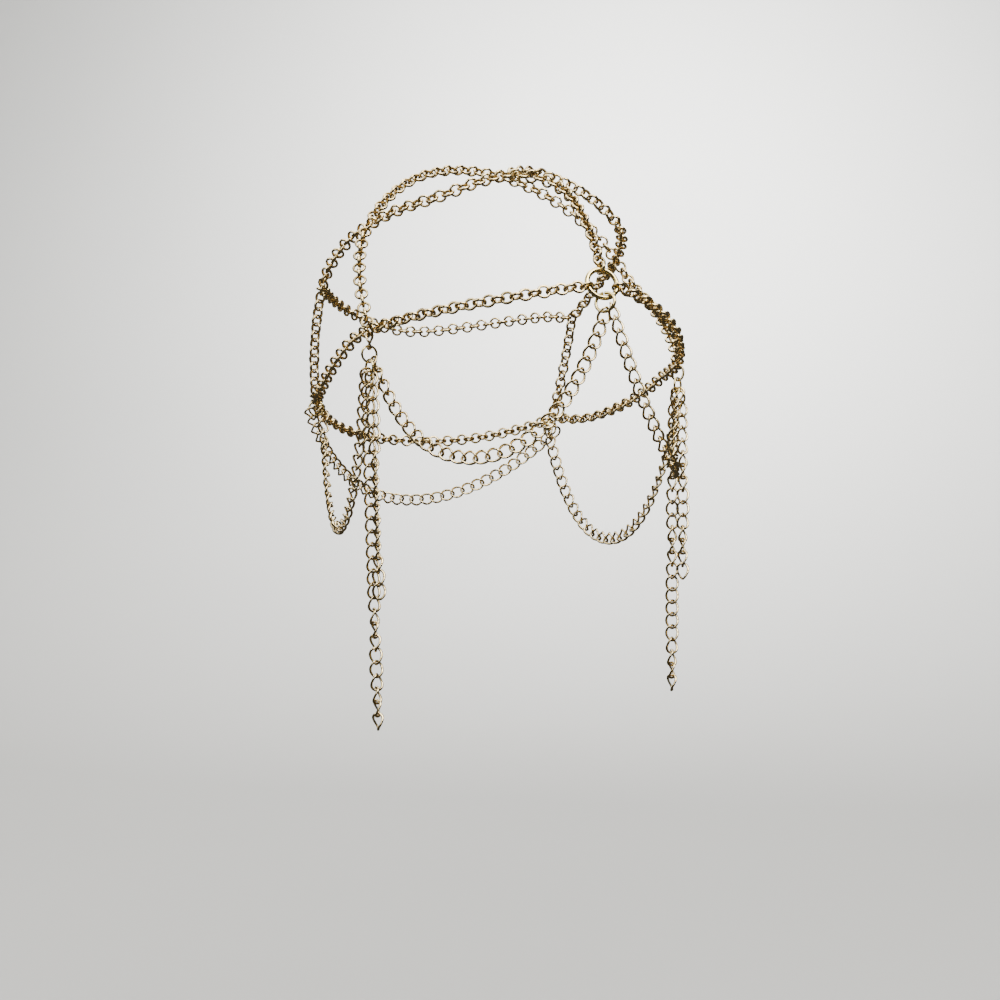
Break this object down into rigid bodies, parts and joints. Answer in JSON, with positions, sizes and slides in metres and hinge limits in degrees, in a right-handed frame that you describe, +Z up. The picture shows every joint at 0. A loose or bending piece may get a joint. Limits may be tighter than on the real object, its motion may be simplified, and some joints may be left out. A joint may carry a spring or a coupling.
{
  "type": "hair chain",
  "caption": "Net of gold belcher chain that sits on the head like a cap, with a ring on the forehead, curb chain swags below and free curb strands at the temples.",
  "frame": {"origin": "middle of the seat on the head, level with the temples; a head holds the chain there, by the mount head_seat", "axes": "+X to the wearer's left, -Y to the front, +Z up"},
  "size_m": [0.1607, 0.2151, 0.2606],
  "materials": {
    "belcher_gold": "polished champagne gold plate on belcher links",
    "curb_gold": "polished champagne gold plate on curb links",
    "ring_gold": "polished pale yellow gold plate on rings"
  },
  "bodies": {
    "root": {"centre_ring": "ring_gold", "front_jump_ring": "ring_gold", "temple_link_right": "belcher_gold", "temple_link_left": "belcher_gold", "temple_drop_right": "curb_gold", "temple_drop_left": "curb_gold", "temple_ring_right": "ring_gold", "temple_ring_left": "ring_gold", "tassel_ring_right": "ring_gold", "tassel_ring_left": "ring_gold", "crown_front_link": "belcher_gold", "crown_link_right": "belcher_gold", "crown_link_left": "belcher_gold", "crown_rear_link_right": "belcher_gold", "crown_rear_link_left": "belcher_gold", "rear_link_right": "belcher_gold", "rear_link_left": "belcher_gold", "rear_ring_right": "ring_gold", "rear_ring_left": "ring_gold", "band_front_right": "belcher_gold", "band_front_left": "belcher_gold", "band_side_right": "belcher_gold", "band_side_left": "belcher_gold", "band_back": "belcher_gold", "front_strand": "belcher_gold", "arch_right": "belcher_gold", "arch_left": "belcher_gold", "side_strand_right": "belcher_gold", "side_strand_left": "belcher_gold", "crown_side_right": "belcher_gold", "crown_side_left": "belcher_gold", "rear_strand_right": "belcher_gold", "rear_strand_left": "belcher_gold", "crown_back": "belcher_gold", "crown_cross": "belcher_gold", "swag_front_right": "curb_gold", "swag_front_left": "curb_gold", "swag_side_right": "curb_gold", "swag_side_left": "curb_gold", "swag_back": "curb_gold", "tassel_long_right": "curb_gold", "tassel_long_left": "curb_gold", "tassel_short_right": "curb_gold", "tassel_short_left": "curb_gold"}
  },
  "joints": []
}
